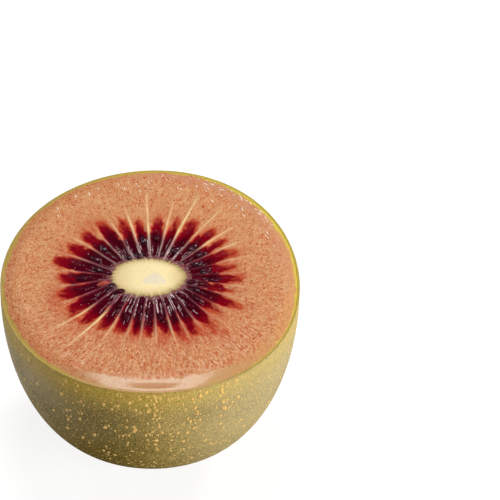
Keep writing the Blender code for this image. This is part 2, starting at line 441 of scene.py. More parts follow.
DROP_MAUVE_GLINT = (0.50, 0.33, 0.36)
SCAR_BROWN = (0.06, 0.032, 0.014)
FLOOR_WHITE = (0.22, 0.22, 0.22)
FLOOR_GLOW = 0.83


def flesh_finish():
    """Wet flesh: grained salmon, red pockets darker inwards, pale walls, a cream core and a yellow edge."""
    finish = Finish("flesh")
    place = finish.place()
    grain = finish.noise(finish.spokes(place, 0.24 * MM, 0.26 * MM), 1.0, 3.0, 0.7)
    clumps = finish.noise(finish.spokes(place, 0.9 * MM, 1.1 * MM), 1.0, 2.0)
    streaks = finish.noise(finish.spokes(place, 0.34 * MM, 0.95 * MM), 1.0, 2.0)
    cloud = finish.noise(place, 5.0 * MM, 2.0)
    mixed = finish.sum(finish.times(grain, 0.75), finish.times(clumps, 0.25))
    flesh = finish.blend(finish.between(mixed, 0.43, 0.57), DEEP_GRAIN, PALE_GRAIN)
    flesh = finish.blend(finish.between(cloud, 0.4, 0.7, 0.0, 0.3), flesh, DEEP_GRAIN)
    flesh = finish.blend(("front", 0.34), flesh, DEEP_GRAIN)
    lumps = finish.noise(place, 0.45 * MM, 4.0, 0.8)
    pale_lumps = finish.between(lumps, 0.50, 0.60, 0.0, 0.45)
    deep_lumps = finish.between(lumps, 0.50, 0.40, 0.0, 0.65)
    flesh = finish.blend((pale_lumps, "coarse"), flesh, PALE_LUMP)
    flesh = finish.blend((deep_lumps, "coarse"), flesh, DEEP_GRAIN)
    flesh = finish.blend((finish.between(streaks, 0.50, 0.66, 0.0, 0.75), "combed"), flesh, STREAK)
    flesh = finish.blend((finish.between(streaks, 0.45, 0.34, 0.0, 0.5), "combed"), flesh, BRICK)
    specks = finish.noise(place, 0.24 * MM, 2.0, 0.6)
    flesh = finish.blend(finish.between(specks, 0.62, 0.74, 0.0, 0.75), flesh, GLINT)
    distance, pick = finish.cells(place, 0.95 * MM, flat=True)
    dot = finish.times(finish.between(distance, 0.26, 0.10), finish.between(pick, 0.50, 0.95))
    flesh = finish.blend((dot, 0.85), flesh, RED_DOT)
    # Partly painted highlight: the front of the shoulder is a paler, plainer flesh where the lamp shines on
    # it
    flesh = finish.blend(("glazed_painted_highlight", 0.6), flesh, SHOULDER_FLESH_AND_HIGHLIGHT)
    # Painted dark reflection: a redder lens inside that highlight
    flesh = finish.blend(("lens", 0.8), flesh, LENS_PAINTED_DARK_REFLECTION)
    # Painted shade: ochre flesh near the rim on the right
    flesh = finish.blend(("facing", 0.6), flesh, OCHRE_PAINTED_SHADE)
    # Painted light: pinker flesh near the rim between the right and the back
    flesh = finish.blend(("pink_painted_light", finish.between(clumps, 0.35, 0.60, 0.4, 1.0)), flesh, PINK_PAINTED_LIGHT)

    broken = finish.times(finish.sum(finish.sum(grain, clumps), -1.0), 0.55)
    red = finish.sum("redness", broken)
    colour = finish.blend(finish.between(red, 0.10, 0.44), flesh, BRICK)
    colour = finish.blend(finish.between(red, 0.40, 0.66), colour, CRIMSON)
    colour = finish.blend(finish.between(red, 0.72, 1.0), colour, MAROON)

    colour = finish.blend(("halo", finish.between(grain, 0.40, 0.60, 0.35, 1.0)), colour, HALO_PINK)
    in_red = finish.blend("lit", WALL_IN_RED, WALL_LIT)
    outside = finish.blend("lit", WALL_IN_FLESH, WALL_LIT_OUTSIDE)
    wall = finish.blend(finish.between("along", 0.40, 1.0), in_red, outside)
    wall = finish.blend("bold", wall, WALL_CREAM)
    colour = finish.blend("wall", colour, wall)

    clear = finish.between(grain, 0.40, 0.60, 0.4, 1.0)
    # Painted glow: the yellow layer is clearer at the back and right
    pith = finish.blend((clear, "painted_glow"), UNDER_PEEL_DULL, UNDER_PEEL)
    speckled = finish.sum("edge", finish.times(finish.sum(grain, -0.5), 2.2))
    colour = finish.blend(finish.between(speckled, 0.35, 0.65), colour, pith)

    fibres = finish.noise(place, 0.35 * MM, 2.0, 0.6)
    core = finish.blend("core_rim", CORE_CREAM, CORE_SHADE)
    core = finish.blend(finish.between(fibres, 0.35, 0.65, 0.0, 0.30), core, CORE_SHADE)
    # Painted reflection: a greyer whitish patch in the core
    core = finish.blend(("painted_reflection_patch", finish.between(fibres, 0.44, 0.56, 0.5, 1.0)), core, CORE_PAINTED_REFLECTION)
    core = finish.blend("fringe", core, CORE_FRINGE)
    frayed = finish.sum("core", finish.times(finish.sum(fibres, -0.5), 0.9))
    colour = finish.blend(finish.between(frayed, 0.2, 0.8), colour, core)

    ripple = finish.noise(finish.spokes(place, 0.45 * MM, 0.40 * MM), 1.0, 2.0)
    normal = finish.bump(finish.times(ripple, "rough"), 0.045 * MM)
    gloss = finish.between("glazed_painted_highlight", 0.0, 0.8, 0.10, 0.28)
    gloss = finish.times(gloss, finish.between("inner", 0.0, 1.0, 1.0, 0.25))
    gloss = finish.times(gloss, finish.between("lens", 0.0, 1.0, 1.0, 0.3))
    gloss = finish.times(gloss, finish.between("facing", 0.0, 0.6, 1.0, 0.0))
    finish.set(Base_Color=colour, Roughness=0.5, IOR=1.38, Specular_IOR_Level=0.0, Normal=normal,
               Subsurface_Weight=0.08, Subsurface_Scale=0.3 * MM, Subsurface_Radius=(1.0, 0.45, 0.3),
               Coat_Weight=gloss, Coat_Roughness=0.12, Coat_IOR=1.5, Coat_Normal=normal)
    return finish.material


def peel_finish():
    """Thin satin peel: mottled olive, greener below the rim, yellow at the cut and painted shade to its foot.

    It has painted light on the right, a painted sheen on the left and painted shade between the left and the
    front; the cut's yellow has a painted glow at the back and right.
    """
    finish = Finish("peel")
    place = finish.place()
    broad = finish.noise(place, 9.0 * MM, 3.0)
    upright = finish.stretched(place, (1.0, 1.0, 0.75))
    grain = finish.noise(upright, 0.22 * MM, 3.0, 0.75)
    height = finish.add("SeparateXYZ", {"Vector": place}).outputs["Z"]
    colour = finish.blend(finish.between(broad, 0.35, 0.65), PEEL_DARK, PEEL_OLIVE)
    # Painted shade: the peel darkens towards its foot
    colour = finish.blend(finish.between(height, 0.001, 0.029), PEEL_LOW, colour)
    colour = finish.blend(finish.between(height, 0.028, 0.034), colour, PEEL_GREEN)
    # Painted light: the peel is paler and greyer on the right
    colour = finish.blend(("pale", 0.48), colour, PEEL_PAINTED_LIGHT)
    colour = finish.blend(("shade", finish.between(height, 0.0365, 0.024, 0.0, 0.55)), colour, PEEL_LOW)
    # Painted sheen: a paler, greyer patch on the left of the peel, broken up by broad noise
    painted_sheen_share = finish.times(finish.between(height, 0.002, 0.026, 0.0, 0.50),
                         finish.between(broad, 0.30, 0.70, 0.45, 1.0))
    colour = finish.blend(("painted_sheen", painted_sheen_share), colour, PEEL_PAINTED_SHEEN)
    pale_grain = finish.between(grain, 0.50, 0.64, 0.0, 0.80)
    colour = finish.blend((pale_grain, finish.between("shade", 0.0, 1.0, 1.0, 0.55)), colour, PEEL_GRAIN)
    dark_grain = finish.between(grain, 0.48, 0.34, 0.0, 0.70)
    colour = finish.blend((dark_grain, finish.between("pale", 0.0, 1.0, 1.0, 0.4)), colour, PEEL_LOW)
    distance, pick = finish.cells(upright, 0.55 * MM)
    size = finish.between(pick, 0.2, 1.0, 0.0, 0.30)
    inside = finish.number("SUBTRACT", size, distance)
    colour = finish.blend(finish.between(inside, -0.01, 0.06, 0.0, 0.55), colour, FLECK_TAN)
    # Painted glow: the cut's yellow is clearer at the back and right
    cut = finish.blend("painted_glow", UNDER_PEEL_DULL, UNDER_PEEL)
    cut = finish.blend(finish.between(grain, 0.45, 0.60, 0.0, 0.6), cut, PEEL_OLIVE)
    cut = finish.blend("front", cut, CUT_FLESH)
    colour = finish.blend("cut", colour, cut)
    normal = finish.bump(grain, 0.05 * MM)
    finish.set(Base_Color=colour, Roughness=0.6, IOR=1.45, Specular_IOR_Level=0.0, Normal=normal,
               Coat_Weight=finish.times(finish.between(height, 0.029, 0.034, 0.20, 0.0),
                                        finish.between(height, 0.014, 0.028)),
               Coat_Roughness=0.25, Coat_IOR=1.5, Coat_Normal=normal)
    return finish.material


def fleck_finish():
    """Corky flecks, tan to brown, matt."""
    finish = Finish("corky_fleck")
    tone = finish.noise(finish.place(), 0.6 * MM, 2.0)
    colour = finish.blend(finish.between(tone, 0.3, 0.7), FLECK_BROWN, FLECK_TAN)
    finish.set(Base_Color=colour, Roughness=0.7, IOR=1.4)
    return finish.material


def seed_finish():
    """Near-black wet seed with a brown bloom and fine pits; an unripe one is reddish."""
    finish = Finish("seed")
    place = finish.place()
    tone = finish.noise(place, 0.8 * MM, 2.0)
    pits = finish.noise(place, 0.12 * MM, 1.0)
    colour = finish.blend(finish.between(tone, 0.4, 0.7), SEED_BLACK, SEED_BROWN)
    colour = finish.blend("sunk", colour, SEED_SUNK)
    colour = finish.blend("unripe", colour, SEED_PALE)
    gloss = finish.between("sunk", 0.0, 1.0, 0.60, 0.12)
    finish.set(Base_Color=colour, Roughness=0.4, IOR=1.4, Specular_IOR_Level=0.0,
               Normal=finish.bump(pits, 0.02 * MM), Coat_Weight=gloss, Coat_Roughness=0.10, Coat_IOR=1.5)
    return finish.material


def thread_finish():
    """Wet fibres, mauve to whitish; the whitish part is partly a painted glint."""
    finish = Finish("thread")
    tone = finish.noise(finish.place(), 0.40 * MM, 2.0)
    pale = finish.times("pale", finish.between(tone, 0.36, 0.56, 0.1, 1.0))
    finish.set(Base_Color=finish.blend(pale, THREAD_MAUVE, THREAD_PALE_GLINT), Roughness=0.4,
               Specular_IOR_Level=0.2, Coat_Weight=0.6, Coat_Roughness=0.1, Coat_IOR=1.5)
    return finish.material


def juice_finish():
    """Drops of juice that catch the light: shining, with painted glints as their colour, whitish, and mauve
    where they lie in the red.
    """
    finish = Finish("juice")
    colour = finish.blend("tinted", DROP_PALE_GLINT, DROP_MAUVE_GLINT)
    finish.set(Base_Color=colour, Roughness=0.3, Specular_IOR_Level=0.3, Coat_Weight=0.5, Coat_Roughness=0.1)
    return finish.material


def scar_finish():
    """Dry dark brown remains of the blossom."""
    finish = Finish("scar")
    tone = finish.noise(finish.place(), 0.3 * MM, 3.0)
    colour = finish.blend(finish.between(tone, 0.3, 0.7), SCAR_BROWN, FLECK_BROWN)
    finish.set(Base_Color=colour, Roughness=0.85, IOR=1.4, Normal=finish.bump(tone, 0.1 * MM))
    return finish.material


def face_columns(walls, reach):
    """Angle, share across its pocket, pocket number and reach of every column, with one on each wall."""
    across = np.tile(np.arange(COLUMNS_PER_POCKET) / COLUMNS_PER_POCKET, POCKETS)
    pocket = np.repeat(np.arange(POCKETS), COLUMNS_PER_POCKET)
    angles = walls[pocket] + np.diff(walls)[pocket] * across
    # A wall ends with the shorter of the two pockets beside it, and the end curves out from there
    at_wall = np.minimum(reach, np.roll(reach, 1))
    low = at_wall[pocket] + (np.roll(at_wall, -1) - at_wall)[pocket] * across
    reaches = low + (reach[pocket] - low) * np.sin(math.pi * across) ** 0.5
    return angles, across, pocket, reaches


def face_rings(angles, ends):
    """Angle and radius of every ring of the cut face, from just inside the peel to just off the axis."""
    inner_edge = rim_radius(angles) - PEEL_THICKNESS
    outer = np.linspace(0.0, 1.0, OUTER_RINGS, endpoint=False)[:, None] ** 1.25
    to_pockets = inner_edge + outer * (ends - inner_edge)
    step = np.linspace(1.0, 0.0, POCKET_RINGS, endpoint=False)[:, None]
    turned = bent(angles, step)
    in_pockets = core_radius(turned) + step * (ends - core_radius(turned))
    at_core = np.repeat(bent(angles, 0.0)[None], CORE_RINGS, axis=0)
    in_core = core_radius(at_core) * np.linspace(1.0, 0.04, CORE_RINGS)[:, None]
    straight = np.repeat(angles[None], OUTER_RINGS, axis=0)
    return np.concatenate([straight, turned, at_core]), np.concatenate([to_pockets, in_pockets, in_core])


def face_height(across, along, radius, core):
    """Level of the cut inside the shoulder: troughs in the pockets and a low dome on the core."""
    trough = np.clip((across - 0.5) / (1.0 - WALL_SHARE) + 0.5, 0.0, 1.0)
    inside = np.clip(along, 0.0, 1.0)
    sink = 0.8 * POCKET_DEPTH * np.sin(math.pi * trough) ** 0.9 * np.sin(math.pi * inside**0.8) ** 1.2
    dome = 0.7 * CORE_RISE * (1.0 - np.minimum(radius / core, 1.0) ** 2)
    return RIM_HEIGHT + SHOULDER_RISE - np.where((along > 0.0) & (along < 1.0), sink, 0.0) + dome


def shoulder_drop(angles, inset):
    """How far the shoulder is below the face: a parabola, wider at the front, with a dent across it."""
    width = SHOULDER_WIDTH + FRONT_SHOULDER_EXTRA * smooth(-np.sin(angles), 0.3, 0.9)
    drop = SHOULDER_RISE * (1.0 - np.clip((inset - PEEL_THICKNESS) / width, 0.0, 1.0)) ** 2
    sideways = (np.degrees(angles) % 360.0 - DENT_TOWARDS) / DENT_HALF_TURN
    step = 1.0 + np.tanh((inset - DENT_INSET) / DENT_SOFTNESS)
    fade = bell(sideways, 0.0, 1.0) * (1.0 - smooth(inset, 2.2 * MM, 6.0 * MM))
    return drop + 0.5 * DENT_DEPTH * step * fade


def by_side(angles, right, back, left, front):
    """A value that goes smoothly from side to side: the squares of the sine and cosine share it out."""
    across, deep = np.cos(angles), np.sin(angles)
    ends = right * np.maximum(across, 0.0) ** 2 + left * np.minimum(across, 0.0) ** 2
    return ends + back * np.maximum(deep, 0.0) ** 2 + front * np.minimum(deep, 0.0) ** 2


def band_width(angles):
    """Width of the yellow layer under the peel, by degrees round the fruit from +X."""
    turn = [0.0, 30.0, 60.0, 90.0, 120.0, 150.0, 180.0, 210.0, 235.0, 255.0, 290.0, 325.0, 360.0]
    wide = [0.35, 0.55, 0.55, 0.40, 0.32, 0.34, 0.38, 0.40, 0.18, 0.0, 0.0, 0.10, 0.35]
    return MM * np.interp(np.degrees(angles) % 360.0, turn, wide)


def red_ends(angles):
    """Where the red of a pocket ends, as a share of the mean reach, by degrees round the core from +X."""
    turn = [0.0, 10.0, 22.0, 43.0, 57.0, 70.0, 98.0, 111.0, 124.0, 133.0, 145.0, 153.0, 165.0, 173.0, 182.0,
            201.0, 235.0, 254.0, 280.0, 292.0, 302.0, 315.0, 325.0, 336.0, 347.0, 358.0, 360.0]
    far = [0.94, 0.88, 1.05, 1.06, 1.10, 1.0, 1.0, 1.06, 1.12, 1.05, 1.06, 1.02, 1.05, 1.00, 0.94,
           0.99, 1.02, 1.02, 1.00, 1.03, 1.11, 1.04, 0.91, 1.11, 0.86, 0.99, 0.94]
    return np.interp(np.degrees(angles) % 360.0, turn, far)


def facing(angles, towards):
    """1 where the fruit faces this way, -1 on the other side: the cosine of the turn between them."""
    return np.cos(angles - math.radians(towards))


def painted_glow_side(angles):
    """1 at the back and right, where the yellow layer under the peel has a painted glow, and 0 on the other
    side.
    """
    return smooth(facing(angles, PAINTED_GLOW_TOWARDS), -0.1, 0.8)


def make_flesh(walls, reach):
    """The flesh: a face of rings that follows the shoulder, the pockets and the core, closed inside the peel.

    Its height is that of the face, less the shoulder's drop, plus fine bumps and low ridges on the walls. The
    shares say how red a point is, how much of it belongs to a wall, the core or the yellow layer, and where
    light, shade and reflections are painted.
    """
    rng = np.random.default_rng(21)
    angles, across, pocket, reaches = face_columns(walls, reach)
    rim, ends = rim_radius(angles), pocket_end(angles, reaches)
    turned, radius = face_rings(angles, ends)
    core = core_radius(turned)
    shape = radius.shape
    along = (radius - core) / (ends - core)
    inset = rim - radius
    height = face_height(across, along, radius, core) - shoulder_drop(angles, inset)
    inside = np.clip(along, 0.0, 1.0)
    pocket_width = radius * (bent(walls[pocket + 1], inside) - bent(walls[pocket], inside))
    at_front = smooth(-np.sin(angles), 0.3, 0.9)
    at_back = smooth(np.sin(angles), 0.1, 0.9)
    at_left = smooth(-np.cos(angles), -0.2, 0.6)
    at_right = smooth(np.cos(angles), 0.2, 0.8)

    # Pale walls, which run on into the flesh and fade
    nearest = (pocket + (across > 0.5)) % POCKETS
    from_wall = np.minimum(across, 1.0 - across) * pocket_width
    strength = np.zeros(POCKETS)
    strength[list(BOLD_WALLS)] = list(BOLD_WALLS.values())
    bold = strength[nearest] * np.ones(shape)
    own = rng.uniform(0.2, 1.0, POCKETS)[nearest]
    half_line = MM * np.interp(along, [0.0, 0.3, 0.6, 0.9, 1.4], [0.09, 0.13, 0.17, 0.17, 0.13])
    line = bell(from_wall, 0.0, half_line)
    fade = 1.0 - smooth(along, 0.80 + 0.45 * bold, 1.05 + 0.80 * bold + 0.1 * own)
    wall = line * fade * (0.50 + 0.45 * np.maximum(own, bold)) * smooth(along, 0.0, 0.15)
    wall *= 1.0 - by_side(angles, 0.85, 0.0, 0.30, 0.0) * (1.0 - smooth(along, 0.4, 0.95))
    wall *= np.clip(0.88 + 0.22 * mottle(rng, shape, 4.0, 1.5), 0.0, 1.0)

    # Redness: it fills a pocket near the core, draws in from the walls farther out and ends round and soft
    middle = 0.5 * (walls[:-1] + walls[1:])
    swing = REACH_SWING * np.cos(2.0 * middle)
    tip = rng.uniform(0.97, 1.03, POCKETS) * red_ends(middle) * (POCKET_REACH + swing) / (reach + swing)
    share = along / tip[pocket]
    lean = 1.0 + 0.5 * rng.uniform(-1.0, 1.0, POCKETS)[pocket] * np.sign(across - 0.5)
    gap = by_side(angles, *[np.interp(share, GAP_AT, gaps) for gaps in GAPS.values()]) * MM * lean
    rounding = 1.0 - np.sqrt(1.0 - np.clip((share - 0.64) / 0.50, 0.0, 1.0) ** 2)
    gap = gap + (0.5 * pocket_width - gap) * rounding
    blurred = MM * (0.12 * mottle(rng, shape, 2.5, 3.0) + 0.08 * mottle(rng, shape, 1.2, 1.2))
    soft = np.interp(share, [0.0, 0.4, 0.8, 1.0], [0.25, 0.36, 0.55, 0.85]) * MM
    filled = smooth((from_wall - gap + blurred) / soft, -1.0, 1.0) * (1.0 - smooth(share, 0.94, 1.16))
    start, span, power = [by_side(angles, *values) for values in zip(*PALING.values())]
    level = 1.06 - np.clip((share - start) / span, 0.0, 1.06) ** power
    level += 0.06 * mottle(rng, shape, 6.0, 4.0)
    haze = np.interp(share, [0.0, 0.5, 0.8, 1.1, 1.5], [0.60, 0.44, 0.32, 0.18, 0.0])
    haze *= (1.0 + 0.25 * mottle(rng, shape, 5.0, 5.0)) * by_side(angles, 0.72, 0.62, 1.10, 1.40)
    redness = np.where(along > -0.2, np.maximum(filled * level, haze), 0.0)
    redness += (0.07 + 0.10 * at_left) * bell(inset, 1.2 * MM, 1.0 * MM)

    # Core with a fine frayed edge
    fray = MM * (0.09 * mottle(rng, shape, 5.0, 2.2) + 0.07 * mottle(rng, shape, 1.2, 1.2))
    core_edge = core + fray + MM * by_side(angles, -0.12, -0.12, 0.14, 0.20)
    core_share = smooth(core_edge - radius, -0.26 * MM, 0.22 * MM)
    x, y = radius * np.cos(turned), radius * np.sin(turned)
    fringe = 0.85 * smooth(radius - core_edge, -(0.70 + 0.7 * smooth(x, 1.0 * MM, 5.0 * MM)) * MM, 0.15 * MM)
    core_ends = np.maximum(0.9 * smooth(x, 1.8 * MM, 5.0 * MM), 0.6 * smooth(-x, 2.0 * MM, 5.4 * MM))
    core_rim = np.maximum(smooth(radius / core, 0.55, 1.0), core_ends)
    halo = 0.75 * bell(radius - core_edge, 0.30 * MM, 0.38 * MM)

    # Painted reflection in the core: a greyer whitish patch, a triangle that points to the back, with its
    # front cut off straight
    half_patch = 1.85 * MM * np.clip((0.95 * MM - y) / (1.7 * MM), 0.0, 1.0)
    painted_reflection_patch = smooth(half_patch - np.abs(x - 0.5 * MM), -0.15 * MM, 0.30 * MM)
    painted_reflection_patch *= smooth(y, -1.80 * MM, -1.50 * MM)

    # Yellow layer under the peel, the radial streaks of the front, and pink painted light near the rim
    # between the right and the back
    band = band_width(angles) * np.clip(1.0 + 0.12 * mottle(rng, shape, 30.0, 6.0), 0.5, 1.5)
    band = band + MM * 0.10 * mottle(rng, shape, 30.0, 2.5)
    edge = 1.0 - smooth(inset - PEEL_THICKNESS, band - 0.25 * MM, band + 0.25 * MM)
    front = smooth(-np.sin(angles), -0.2, 0.9) * smooth(along, 0.9, 1.3)
    combed = np.maximum(front, 0.35) * smooth(inset, 2.0 * MM, 3.0 * MM)
    pink_painted_light = 0.5 * smooth(facing(angles, PINK_LIGHT_TOWARDS), 0.35, 0.95) * bell(inset, 1.9 * MM, 1.3 * MM)

    # Fine relief, which leaves only the front of the shoulder smooth
    glazed_part = smooth(facing(angles, GLAZE_TOWARDS), 0.60, 0.95)
    # The lens: where a redder painted dark reflection lies inside the front shoulder's highlight
    lens_turn = (np.degrees(angles) % 360.0 - LENS_TOWARDS) / LENS_HALF_TURN
    lens_height = LENS_HALF_HEIGHT * (1.0 - lens_turn**2)
    lens = smooth(lens_height - np.abs(inset - LENS_INSET), -0.12 * MM, 0.12 * MM)
    smooth_width = (0.2 + 1.9 * glazed_part) * MM
    rough = smooth(inset, smooth_width, smooth_width + 0.8 * MM)
    outside_core = smooth(radius / core, 0.8, 1.1)
    relief = 0.012 * mottle(rng, shape, 1.6, 1.8) + 0.022 * mottle(rng, shape, 5.0, 4.0)
    height += relief * MM * rough * outside_core
    height += 0.05 * MM * wall

    face = ring_points(turned, radius, height)
    depth = RIM_HEIGHT * np.cos(np.linspace(0.35, math.pi / 2.0, UNDER_RINGS))[:, None]
    overlap = 0.05 * MM
    side = rim * width_share(depth) - PEEL_THICKNESS + overlap
    under = ring_points(angles, side, RIM_HEIGHT - overlap - depth)
    rings = np.concatenate([under, face])

    def over_all(values):
        values = values * np.ones(shape)
        return np.concatenate([np.repeat(values[:1], UNDER_RINGS, axis=0), values])

    # Some shares say where light and shade are painted: a highlight and a dark reflection on the front
    # shoulder, shade along the right edge, pink light between the right and the back, a reflection in the
    # core, light on the walls at the back, and a glow in the yellow layer at the back and right
    shares = {"redness": redness, "wall": wall, "bold": bold * smooth(along, 0.45, 0.8),
              "along": along - 0.22 * at_front, "core": core_share, "core_rim": core_rim,
              "fringe": fringe, "painted_reflection_patch": painted_reflection_patch, "edge": edge, "front": front, "combed": combed,
              "rough": rough, "glazed_painted_highlight": (1.0 - rough) * glazed_part,
              "inner": (1.0 - smooth(along, 0.7, 1.2)) * np.where(along > -0.2, 1.0, 0.0),
              "halo": halo, "pink_painted_light": pink_painted_light, "lens": lens, "lit": at_back, "coarse": 1.0 - 0.85 * at_back,
              "facing": at_right * (1.0 - smooth(inset, 0.5 * MM, 3.6 * MM)), "painted_glow": painted_glow_side(angles)}
    shares = {name: over_all(values) for name, values in shares.items()}
    return make_piece("flesh", [rings], flesh_finish(), shares)


def on_face(walls, reach, pocket, across, along):
    """Angle, radius and level of points given by pocket, share across it and share along it."""
    angles = walls[pocket] + across * np.diff(walls)[pocket]
    turned = bent(angles, along)
    core = core_radius(turned)
    radius = core + along * (pocket_end(angles, reach[pocket]) - core)
    level = face_height(across, along, radius, core) - shoulder_drop(turned, rim_radius(turned) - radius)
    return turned, radius, level


def make_threads(walls, reach):
    """Wet threads in the pockets: tubes that run outwards from the core, half sunk, thin at both ends.

    A tube's middle line is a slow wave across its pocket. Its width is a sine of the length, with bumps.
    """
    rng = np.random.default_rng(31)
    count, rings, columns = THREADS_PER_POCKET * POCKETS, 28, 8
    pocket = np.arange(count)[:, None] % POCKETS
    middle = 0.5 * (walls[:-1] + walls[1:])[pocket]
    at_front, at_back = smooth(-np.sin(middle), 0.3, 0.85), smooth(np.sin(middle), 0.45, 0.9)
    seen = np.maximum(at_front, at_back)
    share = np.linspace(0.0, 1.0, rings)[None, :]
    start = rng.uniform(0.02, 0.35, (count, 1)) * (1.0 - 0.5 * at_back)
    length = rng.uniform(0.15, 0.50, (count, 1)) * (0.30 + 0.70 * seen)
    wave = 0.03 * np.sin(share * rng.uniform(3.0, 7.0, (count, 1)) + rng.uniform(0.0, FULL_TURN, (count, 1)))
    by_wall = rng.random((count, 1)) < 0.35 + 0.20 * at_back
    beside = np.where(rng.random((count, 1)) < 0.5, 0.10, 0.90) + rng.uniform(-0.03, 0.03, (count, 1))
    across = np.where(by_wall, beside, rng.uniform(0.22, 0.78, (count, 1)) + wave)
    start = np.where(by_wall, 0.3 * start, start)
    along = start + length * share
    angles, radius, level = on_face(walls, reach, pocket, across, along)
    fuller = 1.0 + (1.1 * at_front + 0.4 * at_back) * (1.0 - 0.6 * by_wall)
    wide = MM * rng.uniform(0.028, 0.048, (count, 1)) * fuller
    wide = wide * np.sin(math.pi * (0.04 + 0.92 * share)) ** 0.5
    wide = wide * np.clip(1.0 + 0.45 * mottle(rng, (count, rings), 0.01, 1.2), 0.2, 2.0)
    spin = round_angles(columns)
    sideways = np.stack([-np.sin(angles), np.cos(angles), np.zeros_like(angles)], axis=-1)
    centre = ring_points(angles, radius, level + 0.02 * MM)
    tubes = centre[:, :, None, :] + wide[:, :, None, None] * (
        sideways[:, :, None, :] * np.cos(spin)[:, None] + np.array([0.0, 0.0, 1.0]) * np.sin(spin)[:, None])
    # Partly painted glints: the threads are paler at the front and back, where they catch the light
    pale = rng.uniform(0.5, 1.0, (count, 1, 1)) * (0.25 + 0.75 * seen[:, :, None])
    pale = pale * np.ones((count, rings, columns))
    return make_piece("threads", list(tubes), thread_finish(), {"pale": pale})


def ball(rings, columns):
    """x, y and z of a ball of radius 1 with its poles on the X axis: products of two angles' sines."""
    tilt = np.linspace(math.pi, 0.0, rings + 2)[1:-1, None]
    spin = round_angles(columns)[None, :]
    return np.cos(tilt) * np.ones_like(spin), np.sin(tilt) * np.cos(spin), np.sin(tilt) * np.sin(spin)


def drops(centre, way, length, width, height):
    """Half-sunk ellipsoids, each with its long axis along a level direction given as an angle."""
    x, y, z = ball(7, 10)
    x = 0.5 * length[:, None, None] * x
    y = 0.5 * width[:, None, None] * y
    z = height[:, None, None] * z
    cos, sin = np.cos(way)[:, None, None], np.sin(way)[:, None, None]
    return list(centre[:, None, None, :] + np.stack([x * cos - y * sin, x * sin + y * cos, z], axis=-1))


def make_drops(walls, reach):
    """Drops of juice: round ones about the core and in the pockets, long ones inside the rim's far part."""
    rng = np.random.default_rng(41)
    count = CORE_DROPS
    angles = rng.uniform(0.0, FULL_TURN, count)
    core = core_radius(angles)
    radius = core + MM * rng.uniform(0.1, 0.8, count)
    level = face_height(0.5, 0.0 * core, radius, core)
    size = MM * rng.uniform(0.06, 0.12, count)
    parts = drops(ring_points(angles, radius, level - 0.05 * MM), angles, 2.2 * size, size, 0.4 * size)

    count = POCKET_DROPS
    pocket = rng.integers(0, POCKETS, count)
    across, along = rng.uniform(0.2, 0.8, count), rng.uniform(0.05, 0.75, count)
    angles, radius, level = on_face(walls, reach, pocket, across, along)
    size = MM * rng.uniform(0.06, 0.14, count)
    parts += drops(ring_points(angles, radius, level), angles, 1.6 * size, size, 0.5 * size)
    in_red = len(parts)

    count = RIM_DROPS
    at_rim = rng.random(count) < 0.45
    angles = np.radians(np.where(at_rim, rng.uniform(28.0, 72.0, count), rng.uniform(15.0, 140.0, count)))
    inset = MM * np.where(at_rim, rng.uniform(0.8, 2.0, count), rng.uniform(1.2, 5.0, count))
    radius = rim_radius(angles) - inset
    level = face_height(0.5, 2.0, radius, core_radius(angles)) - shoulder_drop(angles, inset)
    length = MM * (0.15 + 0.75 * rng.random(count) ** 2.0)
    way = np.where(at_rim, angles + 0.5 * math.pi, np.radians(rng.uniform(104.0, 128.0, count)))
    width = 0.07 * MM + 0.10 * length
    parts += drops(ring_points(angles, radius, level), way, length, width, 0.03 * MM + 0.02 * length)
    tinted = np.zeros((len(parts), *parts[0].shape[:2]))
    tinted[:in_red] = 1.0
    return make_piece("drops", parts, juice_finish(), {"tinted": tinted})


def peel_profile(turn, angles):
    """Radius and height of the peel's outside: depth is a cosine of turn, from the flat tip up to the cut."""
    depth = RIM_HEIGHT * np.cos(turn)
    return rim_radius(angles) * width_share(depth), RIM_HEIGHT - depth


